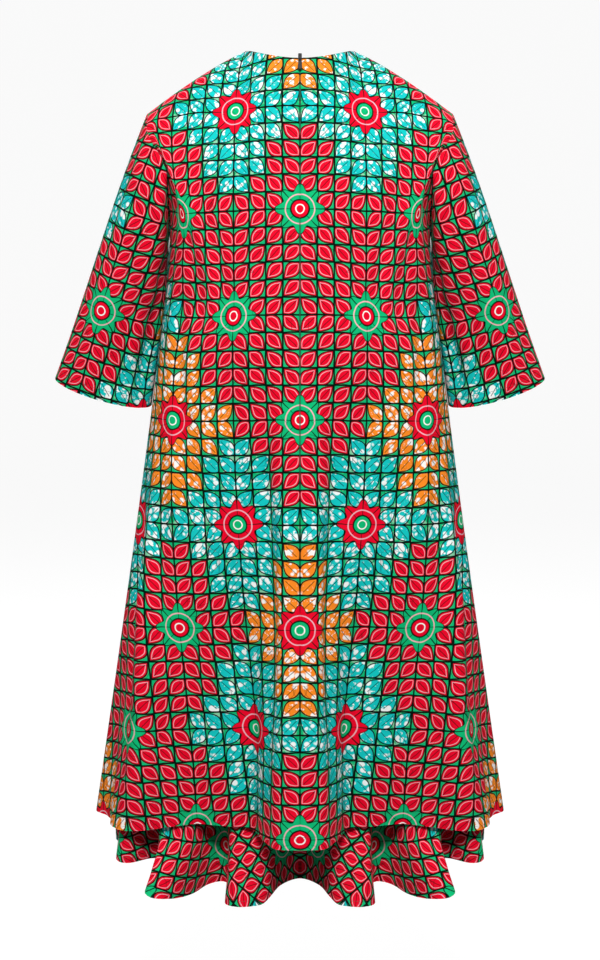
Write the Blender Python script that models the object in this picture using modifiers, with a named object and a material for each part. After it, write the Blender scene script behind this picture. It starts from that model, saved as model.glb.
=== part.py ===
"""A two-layer maxi dress in cotton print, hollow as if worn.

Metres. +Z is up, +Y is the way the wearer faces and the origin lies midway between the high points of the shoulders.
Every cloth panel is an open surface worked out from the sizes below and given its wall by a Solidify modifier.
"""

import math

import bmesh
import bpy
import numpy as np
from mathutils import Matrix, Vector

# Cloth and seams
CLOTH = 0.0016
SEAM_HALF_GAP = 0.00025
SLEEVE_SEAM_HALF_GAP = 0.0005
FLOUNCE_SEAM_HALF_GAP = 0.0006
SHOULDER_HALF_GAP = 0.0007

# Neck and shoulders, given for the wearer's right side and mirrored
NECK_HALF_WIDTH = 0.078
SHOULDER_FORWARD = 0.010
BACK_NECK_DROP = 0.014
BACK_NECK_REACH = 0.060
BACK_NECK_ROUND = 2.5
FRONT_NECK_DROP = 0.085
FRONT_NECK_REACH = 0.078
FRONT_NECK_ROUND = 1.3
TIP_X = 0.214
TIP_Z = -0.086
SHOULDER_FALL = 1.12
SHOULDER_RISE = 0.002

# Armholes
UNDERARM_X = 0.1835
UNDERARM_Z = -0.245
BACK_ARMHOLE_REACH = 0.060
FRONT_ARMHOLE_REACH = 0.056
FRONT_ARMHOLE_SCOOP = 0.012
ARMHOLE_TURN = (0.12, 0.55)
ARMHOLE_ROUND = 0.8

# Body from the bust ring to the outer hem
BUST_Z = -0.310
HEM_Z = -1.098
HEM_SIDE_LIFT = 0.012
BUST_HALF_WIDTH = 0.187
HEM_EXTRA_WIDTH = 0.109
FLARE_CURVE = 1.08
BUST_BACK_DEPTH = 0.122
HEM_BACK_DEPTH = 0.200
BUST_FRONT_DEPTH = 0.138
HEM_FRONT_DEPTH = 0.205
HEM_FORWARD = 0.018
SQUARENESS = 2.3
BUST_FULLNESS = 0.016
BUST_POINT = (0.090, -0.265)
BUST_SPREAD = (0.055, 0.075)
YOKE_TENSION = 0.8
YOKE_SMOOTHINGS = 3
# How the cloth leaves the top edge. Rows: centre, neck point, mid shoulder, tip, upper arm, lower arm, underarm.
# Columns: degrees below level, and how strongly it turns in from the armhole.
YOKE_BACK = ((62, 0.0), (24, 0.0), (14, 0.0), (16, 0.0), (34, 0.9), (60, 0.9), (90, 0.0))
YOKE_FRONT = ((48, 0.0), (26, 0.0), (18, 0.0), (18, 0.0), (34, 0.9), (58, 0.9), (90, 0.0))

# Folds of the outer skirt. Angles run from 0 at centre back to 180 at centre front.
# Columns: angle where the trough starts, is full, starts to end, has ended, and its depth at the hem.
SKIRT_TROUGHS = (
    (3, 14, 30, 58, 0.086),
    (62, 72, 76, 88, 0.014),
    (98, 110, 116, 130, 0.050),
    (136, 146, 148, 160, 0.062),
    (166, 180, 181, 194, 0.024),
)
FOLD_START = 0.10
FOLD_GROWTH = 1.3
TROUGH_HEM_LIFT = 0.10

# Flounce, a circular cut sewn inside the skirt. Columns: angle, and how far in from the skirt its hem lies.
# Troughs and crests take turns.
FLOUNCE_WAVES = (
    (0, 0.125),
    (16, -0.026),
    (27, 0.060),
    (40, -0.050),
    (50, 0.062),
    (60, 0.004),
    (74, 0.045),
    (90, 0.026),
    (101, 0.070),
    (112, -0.014),
    (123, 0.066),
    (135, -0.008),
    (147, 0.072),
    (158, -0.016),
    (169, 0.066),
    (180, -0.018),
)
FLOUNCE_SIDE_WAVE = 7
FLOUNCE_SEAM_Z = -0.960
FLOUNCE_HEM_Z = -1.196
FLOUNCE_SIDE_LIFT = 0.060
FLOUNCE_LIFT_BACK = (26, 66)
FLOUNCE_FRONT_FALL = 0.030
FLOUNCE_FALL_FRONT = (96, 140)
FLOUNCE_TROUGH_LIFT = 0.20
FLOUNCE_SEAM_INSET = 0.0024
FLOUNCE_HANG_INSET = 0.0060
FLOUNCE_HANG_FULL = 0.35
FLOUNCE_GROWTH = 1.2
FLOUNCE_ROLL = 0.006

# Sleeves
CUFF_OUTER = (0.352, -0.4600)
CUFF_INNER = (0.2135, -0.4990)
CUFF_FORWARD = 0.036
CUFF_HALF_DEPTH = 0.046
CUFF_BOW = 0.012
OVERARM_LEAVE = (0.38, 0, -0.90)
UNDERARM_LEAVE = (0.02, 0, -0.98)
OVERARM_ARRIVE = (0.36, 0.09, -0.93)
UNDERARM_ARRIVE = (0.14, 0.09, -1.00)
SLEEVE_ROUND = 0.10
SLEEVE_TOP_GAP = 0.0014
SLEEVE_UNDERARM_GAP = 0.0026
SLEEVE_CLEARANCE = 0.0026

# Zip
ZIP_TAPE_HALF_WIDTH = 0.011
ZIP_TAPE = 0.001
ZIP_CLEARANCE = 0.0005
ZIP_SKIRT_ROWS = 3
SLIDER_CLEARANCE = 0.0005
SLIDER_WIDTH = 0.0052
SLIDER_HEIGHT = 0.0110
SLIDER_DEPTH = 0.0020
SLIDER_ABOVE_EDGE = 0.0050
SLIDER_CORNER = 0.0016
BRIDGE_GAP = 0.0018
BRIDGE_WIDTH = 0.0016
BRIDGE_WALL = 0.0010
BRIDGE_ROUND = 0.0012
BRIDGE_SETBACK = 0.0012
BRIDGE_SINK = 0.0004
TAB_LENGTH = 0.0185
TAB_TOP_WIDTH = 0.0046
TAB_FOOT_WIDTH = 0.0064
TAB_THICK = 0.0010
TAB_BAR = 0.0010
TAB_CORNER = 0.0009
TAB_EDGE = 0.0002
TAB_SLOT_WIDTH = 0.0027
TAB_SLOT_LENGTH = 0.0046
TAB_PIN_FROM_FOOT = 0.0011

# Resolution
WAVE_STEPS = 4
NECK_SHARE = 0.21
SHOULDER_SHARE = 0.29
YOKE_STEPS = (0, 0.07, 0.18, 0.34, 0.54, 0.77)
SKIRT_ROWS = 8
SLEEVE_ROWS = 6
FLOUNCE_ROWS = 6
LEVEL_STEPS = 8
ARC_POINTS = 4
TAB_FOOT_POINTS = 9

PRINT_RED = (0.72, 0.02, 0.08, 1.0)
PRINT_GREEN = (0.02, 0.42, 0.20, 1.0)
ZIP_BLACK = (0.02, 0.02, 0.02, 1.0)
TAPE_GREEN = (0.02, 0.20, 0.10, 1.0)


def smooth(low, high, value):
    """0 below low, 1 above high and an even curve between them."""
    share = np.clip((value - low) / (high - low), 0, 1)
    return share * share * (3 - 2 * share)


def mixed(first, second, share):
    return first + (second - first) * share


def trough_depth(angle):
    """How deep the outer skirt's folds are at its hem, at an angle in radians from centre back."""
    degrees = np.degrees(angle)
    depth = 0
    for start, full, ending, end, deepest in SKIRT_TROUGHS:
        depth = depth + deepest * smooth(start, full, degrees) * (1 - smooth(ending, end, degrees))
    return depth


def skirt(angle, level):
    """The middle of the outer cloth: (points, outward directions). Level is 0 at the bust ring and 1 at the hem."""
    flare = np.maximum(level, 0) ** FLARE_CURVE
    half_width = BUST_HALF_WIDTH + HEM_EXTRA_WIDTH * flare
    back = mixed(BUST_BACK_DEPTH, HEM_BACK_DEPTH, level)
    front = mixed(BUST_FRONT_DEPTH, HEM_FRONT_DEPTH, level)
    across, along = np.sin(angle), np.cos(angle)
    depth = np.where(along > 0, back, front)
    x = half_width * np.abs(across) ** (2 / SQUARENESS)
    y = -np.sign(along) * depth * np.abs(along) ** (2 / SQUARENESS)
    out_x = np.abs(x / half_width) ** (SQUARENESS - 1) / half_width
    out_y = np.sign(y) * np.abs(y / depth) ** (SQUARENESS - 1) / depth
    size = np.hypot(out_x, out_y)
    out = np.stack([out_x / size, out_y / size, np.zeros_like(size)], -1)
    growth = np.clip((level - FOLD_START) / (1 - FOLD_START), 0, 1) ** FOLD_GROWTH
    fold = trough_depth(angle) * growth
    lift = TROUGH_HEM_LIFT * fold + HEM_SIDE_LIFT * across ** 2
    z = mixed(BUST_Z, HEM_Z, level) + lift * growth
    points = np.stack([x, y + HEM_FORWARD * level, z], -1) - out * fold[..., None]
    return points, out


def ring_angles(back):
    """The columns' angles from the centre to the side seam, evenly spaced inside each wave of the flounce."""
    places = [place for place, _ in FLOUNCE_WAVES]
    places = places[:FLOUNCE_SIDE_WAVE + 1] if back else places[:FLOUNCE_SIDE_WAVE - 1:-1]
    steps = [np.linspace(a, b, WAVE_STEPS + 1)[:-1] for a, b in zip(places, places[1:])]
    return np.radians(np.append(np.concatenate(steps), places[-1]))


def neckline(share, back):
    """From the centre (0) to the high point of the shoulder (1)."""
    turn = share * math.pi / 2
    reach = -BACK_NECK_REACH if back else FRONT_NECK_REACH
    drop, power = (BACK_NECK_DROP, BACK_NECK_ROUND) if back else (FRONT_NECK_DROP, FRONT_NECK_ROUND)
    y = SHOULDER_FORWARD + (reach - SHOULDER_FORWARD) * np.cos(turn)
    return np.stack([NECK_HALF_WIDTH * np.sin(turn), y, -drop * np.cos(turn) ** power], -1)


def shoulder(share):
    """From the high point of the shoulder (0) to its tip (1)."""
    x = mixed(NECK_HALF_WIDTH, TIP_X, share)
    z = TIP_Z * share ** SHOULDER_FALL + SHOULDER_RISE * np.sin(math.pi * share)
    return np.stack([x, SHOULDER_FORWARD * (1 - share), z], -1)


def armhole(share, back):
    """From the tip of the shoulder (0) to the underarm (1)."""
    bow = np.sin(math.pi * np.clip(share, 0, 1))
    x = mixed(TIP_X, UNDERARM_X, smooth(*ARMHOLE_TURN, share))
    if not back:
        x = x - FRONT_ARMHOLE_SCOOP * bow
    reach = -BACK_ARMHOLE_REACH if back else FRONT_ARMHOLE_REACH
    return np.stack([x, reach * bow ** ARMHOLE_ROUND, mixed(TIP_Z, UNDERARM_Z, share)], -1)


def top_columns(back):
    """How many columns end on the neckline, on the shoulder seam and on the armhole."""
    columns = len(ring_angles(back)) - 1
    neck = round(NECK_SHARE * columns)
    top = round(SHOULDER_SHARE * columns)
    return neck, top, columns - neck - top


def top_edge(back):
    """The panel's top edge, one point for each column from the centre to the underarm."""
    neck, top, arm = top_columns(back)
    return np.concatenate([
        neckline(np.arange(neck) / neck, back),
        shoulder(np.arange(top) / top),
        armhole(np.arange(arm + 1) / arm, back),
    ])


def yoke_leave(back):
    """The direction in which the cloth leaves the top edge at each column."""
    neck, top, arm = top_columns(back)
    tip = neck + top
    table = YOKE_BACK if back else YOKE_FRONT
    places = (0, neck, neck + top / 2, tip, tip + arm * 0.3, tip + arm * 0.6, tip + arm)
    columns = np.arange(tip + arm + 1)
    slope = np.radians(np.interp(columns, places, [slope for slope, _ in table]))
    inward = np.interp(columns, places, [inward for _, inward in table])
    facing = -1 if back else 1
    leave = np.stack([-inward, facing * np.cos(slope), -np.sin(slope)], -1)
    return leave / np.linalg.norm(leave, axis=1, keepdims=True)


def half_body(back):
    """Rows of points from the top edge to the hem, for x of 0 and more."""
    angle = ring_angles(back)
    top = top_edge(back)
    bust, _ = skirt(angle, np.zeros_like(angle))
    run = YOKE_TENSION * np.linalg.norm(bust - top, axis=1)[:, None]
    leave = run * yoke_leave(back)
    arrive = run * np.array([0, 0, -1.0])
    rows = []
    for step in YOKE_STEPS:
        rows.append(
            (2 * step ** 3 - 3 * step ** 2 + 1) * top
            + (step ** 3 - 2 * step ** 2 + step) * leave
            + (3 * step ** 2 - 2 * step ** 3) * bust
            + (step ** 3 - step ** 2) * arrive
        )
    for level in np.arange(SKIRT_ROWS + 1) / SKIRT_ROWS:
        rows.append(skirt(angle, np.full_like(angle, level))[0])
    grid = np.array(rows)
    for row in range(1, len(YOKE_STEPS)):
        for _ in range(YOKE_SMOOTHINGS):
            sides = (grid[row, :-2] + grid[row, 2:]) / 2
            grid[row, 1:-1] = (grid[row, 1:-1] + sides) / 2
    if not back:
        apart = np.hypot((grid[..., 0] - BUST_POINT[0]) / BUST_SPREAD[0],
                         (grid[..., 2] - BUST_POINT[1]) / BUST_SPREAD[1])
        grid[..., 1] += BUST_FULLNESS * np.exp(-apart ** 2)
    return grid


def flounce_wave(angle):
    """(how far in the flounce's hem lies, how far its cloth rolls sideways) at each angle."""
    degrees = np.degrees(angle)
    places = np.array([place for place, _ in FLOUNCE_WAVES], float)
    insets = np.array([inset for _, inset in FLOUNCE_WAVES])
    first = np.clip(np.searchsorted(places, degrees, side="right") - 1, 0, len(places) - 2)
    share = (degrees - places[first]) / (places[first + 1] - places[first])
    inset = mixed(insets[first], insets[first + 1], (1 - np.cos(math.pi * share)) / 2)
    return inset, FLOUNCE_ROLL * np.sin(2 * math.pi * share)


def facing_out(points, out):
    """The level direction square to a ring of points, away from the middle of the body."""
    along = np.gradient(points[:, :2], axis=0)
    square = np.stack([along[:, 1], -along[:, 0], 0 * along[:, 0]], -1)
    square = square / np.linalg.norm(square, axis=1, keepdims=True)
    square = square * np.sign(np.sum(square * out, axis=1, keepdims=True))
    square[0], square[-1] = out[0], out[-1]
    return square


def level_at(angle, z):
    """The level of the outer skirt that lies at a height, with the lift of its folds taken in."""
    level = (z - BUST_Z) / (HEM_Z - BUST_Z)
    for _ in range(LEVEL_STEPS):
        level = level - (skirt(angle, level)[0][:, 2] - z) / (HEM_Z - BUST_Z)
    return level


def half_flounce(back):
    """Rows of points from the flounce's seam to its hem, for x of 0 and more."""
    angle = ring_angles(back)
    inset, roll = flounce_wave(angle)
    hem = (
        FLOUNCE_HEM_Z
        + FLOUNCE_SIDE_LIFT * smooth(*FLOUNCE_LIFT_BACK, np.degrees(angle))
        - FLOUNCE_FRONT_FALL * smooth(*FLOUNCE_FALL_FRONT, np.degrees(angle))
        + FLOUNCE_TROUGH_LIFT * np.maximum(inset, 0)
    )
    rows = []
    for share in np.arange(FLOUNCE_ROWS + 1) / FLOUNCE_ROWS:
        z = mixed(FLOUNCE_SEAM_Z, hem, share)
        points, out = skirt(angle, level_at(angle, z))
        below = np.clip((HEM_Z - z) / (HEM_Z - hem), 0, 1)
        hang = FLOUNCE_SEAM_INSET + FLOUNCE_HANG_INSET * smooth(0, FLOUNCE_HANG_FULL, share)
        inward = np.maximum(inset, 0) * share ** FLOUNCE_GROWTH + np.minimum(inset, 0) * below
        sideways = np.stack([-out[:, 1], out[:, 0], 0 * z], -1) * (roll * share)[:, None]
        points = points - facing_out(points, out) * hang - out * inward[:, None] + sideways
        points[:, 2] = z
        rows.append(points)
    return np.array(rows)


def half_sleeve(back):
    """Rows of points from the armhole to the cuff, for x of 0 and more. Columns run from overarm to underarm."""
    columns = top_columns(back)[2]
    turn = math.pi * np.arange(columns + 1) / columns
    under = ((1 - np.cos(turn)) / 2)[:, None]
    facing = -1 if back else 1
    top = armhole(turn / math.pi, back)
    top[:, 0] += mixed(SLEEVE_TOP_GAP, SLEEVE_UNDERARM_GAP, under[:, 0])
    outer, inner = np.array(CUFF_OUTER), np.array(CUFF_INNER)
    middle, half = (outer + inner) / 2, (outer - inner) / 2
    cuff = np.stack([
        middle[0] + half[0] * np.cos(turn),
        CUFF_FORWARD + facing * CUFF_HALF_DEPTH * np.sin(turn),
        middle[1] + half[1] * np.cos(turn) - CUFF_BOW * np.sin(turn),
    ], -1)
    run = np.linalg.norm(cuff - top, axis=1)[:, None]
    leave = mixed(np.array(OVERARM_LEAVE), np.array(UNDERARM_LEAVE), under)
    leave[:, 1] = facing * SLEEVE_ROUND * np.sin(turn)
    arrive = mixed(np.array(OVERARM_ARRIVE), np.array(UNDERARM_ARRIVE), under)
    rows = []
    for step in np.arange(SLEEVE_ROWS + 1) / SLEEVE_ROWS:
        rows.append(
            (2 * step ** 3 - 3 * step ** 2 + 1) * top
            + (step ** 3 - 2 * step ** 2 + step) * run * leave
            + (3 * step ** 2 - 2 * step ** 3) * cuff
            + (step ** 3 - step ** 2) * run * arrive
        )
    grid = np.array(rows)
    level = np.clip((grid[..., 2] - BUST_Z) / (HEM_Z - BUST_Z), 0, 1)
    body_side = BUST_HALF_WIDTH + HEM_EXTRA_WIDTH * level ** FLARE_CURVE + SLEEVE_CLEARANCE
    below = grid[..., 2] < UNDERARM_Z
    grid[..., 0] = np.where(below, np.maximum(grid[..., 0], body_side), grid[..., 0])
    return grid


def mirrored(grid):
    """The same panel for the wearer's left side."""
    return (grid * np.array([-1, 1, 1]))[:, ::-1]


def whole(half):
    """Both sides of a panel cut on the fold, from the wearer's left to right."""
    return np.concatenate([mirrored(half)[:, :-1], half], axis=1)


def drawn_back(grid, gaps):
    """The panel with the named edges moved in by the gap given for each."""
    grid = grid.copy()
    edges = {
        "first": (np.s_[:, 0], np.s_[:, 1]),
        "last": (np.s_[:, -1], np.s_[:, -2]),
        "top": (np.s_[0], np.s_[1]),
    }
    for side, gap in gaps.items():
        edge, inside = edges[side]
        way = grid[inside] - grid[edge]
        grid[edge] += gap * way / np.maximum(np.linalg.norm(way, axis=-1, keepdims=True), 1e-9)
    return grid


def material(name, colour, roughness, metallic=0.0):
    made = bpy.data.materials.get(name)
    if made is None:
        made = bpy.data.materials.new(name)
        made.use_nodes = True
        shader = made.node_tree.nodes["Principled BSDF"]
        shader.inputs["Base Color"].default_value = colour
        shader.inputs["Roughness"].default_value = roughness
        shader.inputs["Metallic"].default_value = metallic
        made.diffuse_color = colour
    return made


def placed(obj, finish, collection):
    obj.data.materials.append(finish)
    collection.objects.link(obj)
    return obj


def cloth_panel(name, grid, finish, collection, thickness=CLOTH, outward=None):
    """An open surface through the grid's points, with a wall of cloth half on each side of it."""
    rows, columns, _ = grid.shape
    mesh = bpy.data.meshes.new(name)
    bm = bmesh.new()
    points = [[bm.verts.new(point) for point in row] for row in grid.tolist()]
    for r in range(rows - 1):
        for c in range(columns - 1):
            bm.faces.new((points[r][c], points[r + 1][c], points[r + 1][c + 1], points[r][c + 1]))
    bm.to_mesh(mesh)
    bm.free()
    mesh.shade_smooth()
    obj = placed(bpy.data.objects.new(name, mesh), finish, collection)
    wall = obj.modifiers.new("wall", "SOLIDIFY")
    wall.thickness = thickness
    wall.offset = 0
    return obj


def add_body(collection):
    cloth = material("wax_print", PRINT_RED, 0.65)
    gaps = {"first": SEAM_HALF_GAP, "last": SEAM_HALF_GAP, "top": SHOULDER_HALF_GAP}
    back = drawn_back(half_body(back=True), gaps)
    cloth_panel("back_right", back, cloth, collection)
    cloth_panel("back_left", mirrored(back), cloth, collection)
    cloth_panel("front", drawn_back(whole(half_body(back=False)), gaps)[:, ::-1], cloth, collection)


def add_sleeves(collection):
    cloth = material("wax_print_sleeve", PRINT_GREEN, 0.65)
    gaps = {"first": SLEEVE_SEAM_HALF_GAP, "last": SLEEVE_SEAM_HALF_GAP}
    for half, back in (("back", True), ("front", False)):
        grid = drawn_back(half_sleeve(back), gaps)
        grid = grid[:, ::-1] if back else grid
        cloth_panel(f"sleeve_right_{half}", grid, cloth, collection)
        cloth_panel(f"sleeve_left_{half}", mirrored(grid), cloth, collection)


def add_flounce(collection):
    cloth = material("wax_print_flounce", PRINT_GREEN, 0.65)
    gaps = {"first": FLOUNCE_SEAM_HALF_GAP, "last": FLOUNCE_SEAM_HALF_GAP}
    cloth_panel("flounce_back", drawn_back(whole(half_flounce(back=True)), gaps), cloth, collection)
    cloth_panel("flounce_front", drawn_back(whole(half_flounce(back=False)), gaps)[:, ::-1], cloth, collection)


def add_zip_tape(collection):
    """The tape behind the centre-back seam, made from the back panel's own points moved in."""
    finish = material("zip_tape", TAPE_GREEN, 0.8)
    panel = half_body(back=True)[:len(YOKE_STEPS) + ZIP_SKIRT_ROWS + 1, :2]
    centre, beside = panel[:, 0], panel[:, 1]
    edge = mixed(centre, beside, (ZIP_TAPE_HALF_WIDTH / beside[:, :1]))
    down = np.gradient(centre, axis=0)
    out = np.stack([0 * down[:, 0], down[:, 2], -down[:, 1]], -1)
    out = out / np.linalg.norm(out, axis=1, keepdims=True)
    inward = CLOTH / 2 + ZIP_CLEARANCE + ZIP_TAPE / 2
    centre = centre - out * inward
    edge = edge - out * inward
    rows = np.stack([edge * np.array([-1, 1, 1]), centre, edge], axis=1)
    cloth_panel("zip_tape", rows, finish, collection, ZIP_TAPE)


def zip_frame(below_edge):
    """The zip's own frame at a distance below the neck edge: X across, Y up along the seam, Z outward."""
    line = half_body(back=True)[:, 0]
    first = Vector(line[0])
    down = (Vector(line[1]) - first).normalized()
    across = Vector((1, 0, 0))
    out = across.cross(-down)
    place = first + down * below_edge
    frame = Matrix.Identity(4)
    for column, axis in enumerate((across, -down, out)):
        frame.col[column][:3] = axis
    frame.col[3][:3] = place + out * (CLOTH / 2 + SLIDER_CLEARANCE)
    return frame


def outline_mesh(name, loops, depth):
    """A flat outline in the XY plane with its holes, as thick as depth on both sides of the plane."""
    curve = bpy.data.curves.new(name, "CURVE")
    curve.dimensions = "2D"
    curve.fill_mode = "BOTH"
    curve.extrude = depth / 2
    for loop in loops:
        spline = curve.splines.new("POLY")
        spline.points.add(len(loop) - 1)
        for point, (x, y) in zip(spline.points, loop):
            point.co = (x, y, 0, 1)
        spline.use_cyclic_u = True
    shape = bpy.data.objects.new(name + "_outline", curve)
    bpy.context.scene.collection.objects.link(shape)
    bpy.context.view_layer.update()
    mesh = bpy.data.meshes.new_from_object(shape.evaluated_get(bpy.context.evaluated_depsgraph_get()))
    bpy.data.objects.remove(shape)
    bm = bmesh.new()
    bm.from_mesh(mesh)
    bmesh.ops.remove_doubles(bm, verts=bm.verts, dist=1e-6)
    bm.to_mesh(mesh)
    bm.free()
    mesh.name = name
    mesh.materials.clear()
    return mesh


def arc(centre, radius, start, end, steps=ARC_POINTS):
    """Points round part of a circle, its angles in degrees."""
    turns = np.radians(np.linspace(start, end, steps))
    return [(centre[0] + radius * math.cos(turn), centre[1] + radius * math.sin(turn)) for turn in turns]


def rounded_outline(half_width, half_height, corner):
    points = []
    for right, top, start in ((1, 1, 0), (-1, 1, 90), (-1, -1, 180), (1, -1, 270)):
        centre = (right * (half_width - corner), top * (half_height - corner))
        points += arc(centre, corner, start, start + 90)
    return points


def tab_outlines():
    """The tab's teardrop and its slot, with the pin of the tab at the origin and its end down the Y axis."""
    top = TAB_BAR / 2
    foot = TAB_FOOT_WIDTH / 2
    half_top = TAB_TOP_WIDTH / 2
    corner_x = half_top - TAB_CORNER
    corner_y = top - TAB_CORNER
    edge = (
        arc((corner_x, corner_y), TAB_CORNER, 0, 90)
        + arc((-corner_x, corner_y), TAB_CORNER, 90, 180)
        + [(-half_top, -TAB_SLOT_LENGTH)]
        + arc((0, top - TAB_LENGTH + foot), foot, 180, 360, TAB_FOOT_POINTS)
        + [(half_top, -TAB_SLOT_LENGTH)]
    )
    half_slot = TAB_SLOT_WIDTH / 2
    slot = [
        (half_slot, -TAB_BAR / 2),
        (-half_slot, -TAB_BAR / 2),
        (-half_slot, -TAB_BAR / 2 - TAB_SLOT_LENGTH),
        (half_slot, -TAB_BAR / 2 - TAB_SLOT_LENGTH),
    ]
    return edge, slot


def add_zip(collection, cutters):
    """The slider at the top of the closed zip with its bridge, and the pull tab that hangs on the bridge."""
    metal = material("zip_black", ZIP_BLACK, 0.35, 0.6)
    frame = zip_frame(SLIDER_HEIGHT / 2 - SLIDER_ABOVE_EDGE)
    body = outline_mesh(
        "zip_slider",
        [rounded_outline(SLIDER_WIDTH / 2, SLIDER_HEIGHT / 2, SLIDER_CORNER)],
        SLIDER_DEPTH,
    )
    body.transform(Matrix.Translation((0, 0, SLIDER_DEPTH / 2)))
    slider = placed(bpy.data.objects.new("zip_slider", body), metal, collection)
    slider.matrix_world = frame
    foot = SLIDER_HEIGHT / 2 - BRIDGE_SETBACK
    inner = foot - BRIDGE_WALL
    under = SLIDER_DEPTH + BRIDGE_GAP
    over = under + BRIDGE_WALL
    base = SLIDER_DEPTH - BRIDGE_SINK
    arch = (
        [(-foot, base), (-inner, base), (-inner, under), (inner, under), (inner, base), (foot, base)]
        + arc((foot - BRIDGE_ROUND, over - BRIDGE_ROUND), BRIDGE_ROUND, 0, 90)
        + arc((BRIDGE_ROUND - foot, over - BRIDGE_ROUND), BRIDGE_ROUND, 90, 180)
    )
    bridge_mesh = outline_mesh("bridge", [arch], BRIDGE_WIDTH)
    stand = Matrix(((0, 0, 1, 0), (1, 0, 0, 0), (0, 1, 0, 0), (0, 0, 0, 1)))
    bridge_mesh.transform(stand)
    bridge = bpy.data.objects.new("bridge", bridge_mesh)
    bridge.matrix_world = frame
    bridge.hide_render = True
    bridge.display_type = "WIRE"
    cutters.objects.link(bridge)
    join = slider.modifiers.new("bridge", "BOOLEAN")
    join.operation = "UNION"
    join.solver = "EXACT"
    join.object = bridge
    tab_mesh = outline_mesh("pull_tab", tab_outlines(), TAB_THICK)
    tab = placed(bpy.data.objects.new("pull_tab", tab_mesh), metal, collection)
    pin = (0, TAB_PIN_FROM_FOOT - inner, SLIDER_DEPTH + BRIDGE_GAP / 2)
    tab.matrix_world = frame @ Matrix.Translation(pin)
    edge = tab.modifiers.new("edge", "BEVEL")
    edge.width = TAB_EDGE
    edge.segments = 2
    edge.limit_method = "ANGLE"


def main():
    for obj in list(bpy.data.objects):
        bpy.data.objects.remove(obj)
    collection = bpy.data.collections.new("maxi_dress")
    cutters = bpy.data.collections.new("cutters")
    bpy.context.scene.collection.children.link(collection)
    bpy.context.scene.collection.children.link(cutters)
    add_body(collection)
    add_sleeves(collection)
    add_flounce(collection)
    add_zip_tape(collection)
    add_zip(collection, cutters)


main()
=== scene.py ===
"""Looks of a two-layer maxi dress in printed cotton, hollow as if worn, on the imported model.

Metres. +Z is up, +Y is the way the wearer faces, and the origin lies midway between the high
points of the shoulders. The shape is the one of the solids, worked out from the same sizes,
with finer points, creases, hems and stitching.
"""

import math

import bpy
import numpy as np
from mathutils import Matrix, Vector


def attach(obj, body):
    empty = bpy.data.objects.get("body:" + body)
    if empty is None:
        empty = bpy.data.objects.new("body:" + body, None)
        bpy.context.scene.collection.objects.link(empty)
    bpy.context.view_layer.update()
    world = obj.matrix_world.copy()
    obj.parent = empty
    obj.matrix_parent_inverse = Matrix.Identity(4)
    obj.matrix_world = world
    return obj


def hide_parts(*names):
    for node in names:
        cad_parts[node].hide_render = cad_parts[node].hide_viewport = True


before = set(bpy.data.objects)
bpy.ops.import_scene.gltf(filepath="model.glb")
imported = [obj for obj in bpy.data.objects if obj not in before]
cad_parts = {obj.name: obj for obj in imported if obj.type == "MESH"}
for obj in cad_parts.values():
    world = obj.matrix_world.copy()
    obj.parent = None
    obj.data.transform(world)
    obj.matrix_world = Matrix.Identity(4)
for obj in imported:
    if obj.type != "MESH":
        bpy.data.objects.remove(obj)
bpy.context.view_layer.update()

# Cloth and seams
CLOTH = 0.0016

# Neck and shoulders, given for the wearer's right side and mirrored
NECK_HALF_WIDTH = 0.078
SHOULDER_FORWARD = 0.010
BACK_NECK_DROP = 0.014
BACK_NECK_REACH = 0.060
BACK_NECK_ROUND = 2.5
FRONT_NECK_DROP = 0.085
FRONT_NECK_REACH = 0.078
FRONT_NECK_ROUND = 1.3
TIP_X = 0.214
TIP_Z = -0.086
SHOULDER_FALL = 1.12
SHOULDER_RISE = 0.002

# Armholes
UNDERARM_X = 0.1835
UNDERARM_Z = -0.245
BACK_ARMHOLE_REACH = 0.060
FRONT_ARMHOLE_REACH = 0.056
FRONT_ARMHOLE_SCOOP = 0.012
ARMHOLE_TURN = (0.12, 0.55)
ARMHOLE_ROUND = 0.8

# Body from the bust ring to the outer hem
BUST_Z = -0.310
HEM_Z = -1.098
HEM_SIDE_LIFT = 0.012
BUST_HALF_WIDTH = 0.187
HEM_EXTRA_WIDTH = 0.109
FLARE_CURVE = 1.08
BUST_BACK_DEPTH = 0.122
HEM_BACK_DEPTH = 0.200
BUST_FRONT_DEPTH = 0.138
HEM_FRONT_DEPTH = 0.205
HEM_FORWARD = 0.018
SQUARENESS = 2.3
BUST_FULLNESS = 0.016
BUST_POINT = (0.090, -0.265)
BUST_SPREAD = (0.055, 0.075)
YOKE_TENSION = 0.8
YOKE_SMOOTHINGS = 3
# How the cloth leaves the top edge. Rows: centre, neck point, mid shoulder, tip, upper arm,
# lower arm, underarm. Columns: degrees below level, and how strongly it turns in from the armhole.
YOKE_BACK = ((62, 0.0), (24, 0.0), (14, 0.0), (16, 0.0), (34, 0.9), (60, 0.9), (90, 0.0))
YOKE_FRONT = ((48, 0.0), (26, 0.0), (18, 0.0), (18, 0.0), (34, 0.9), (58, 0.9), (90, 0.0))

# Folds of the outer skirt. Angles run from 0 at centre back to 180 at centre front.
# Columns: angle where the trough starts, is full, starts to end, has ended, and its depth at the hem.
SKIRT_TROUGHS = (
    (3, 14, 30, 58, 0.086),
    (62, 72, 76, 88, 0.014),
    (98, 110, 116, 130, 0.050),
    (136, 146, 148, 160, 0.062),
    (166, 180, 181, 194, 0.024),
)
FOLD_START = 0.10
FOLD_GROWTH = 1.3
TROUGH_HEM_LIFT = 0.10

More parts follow.
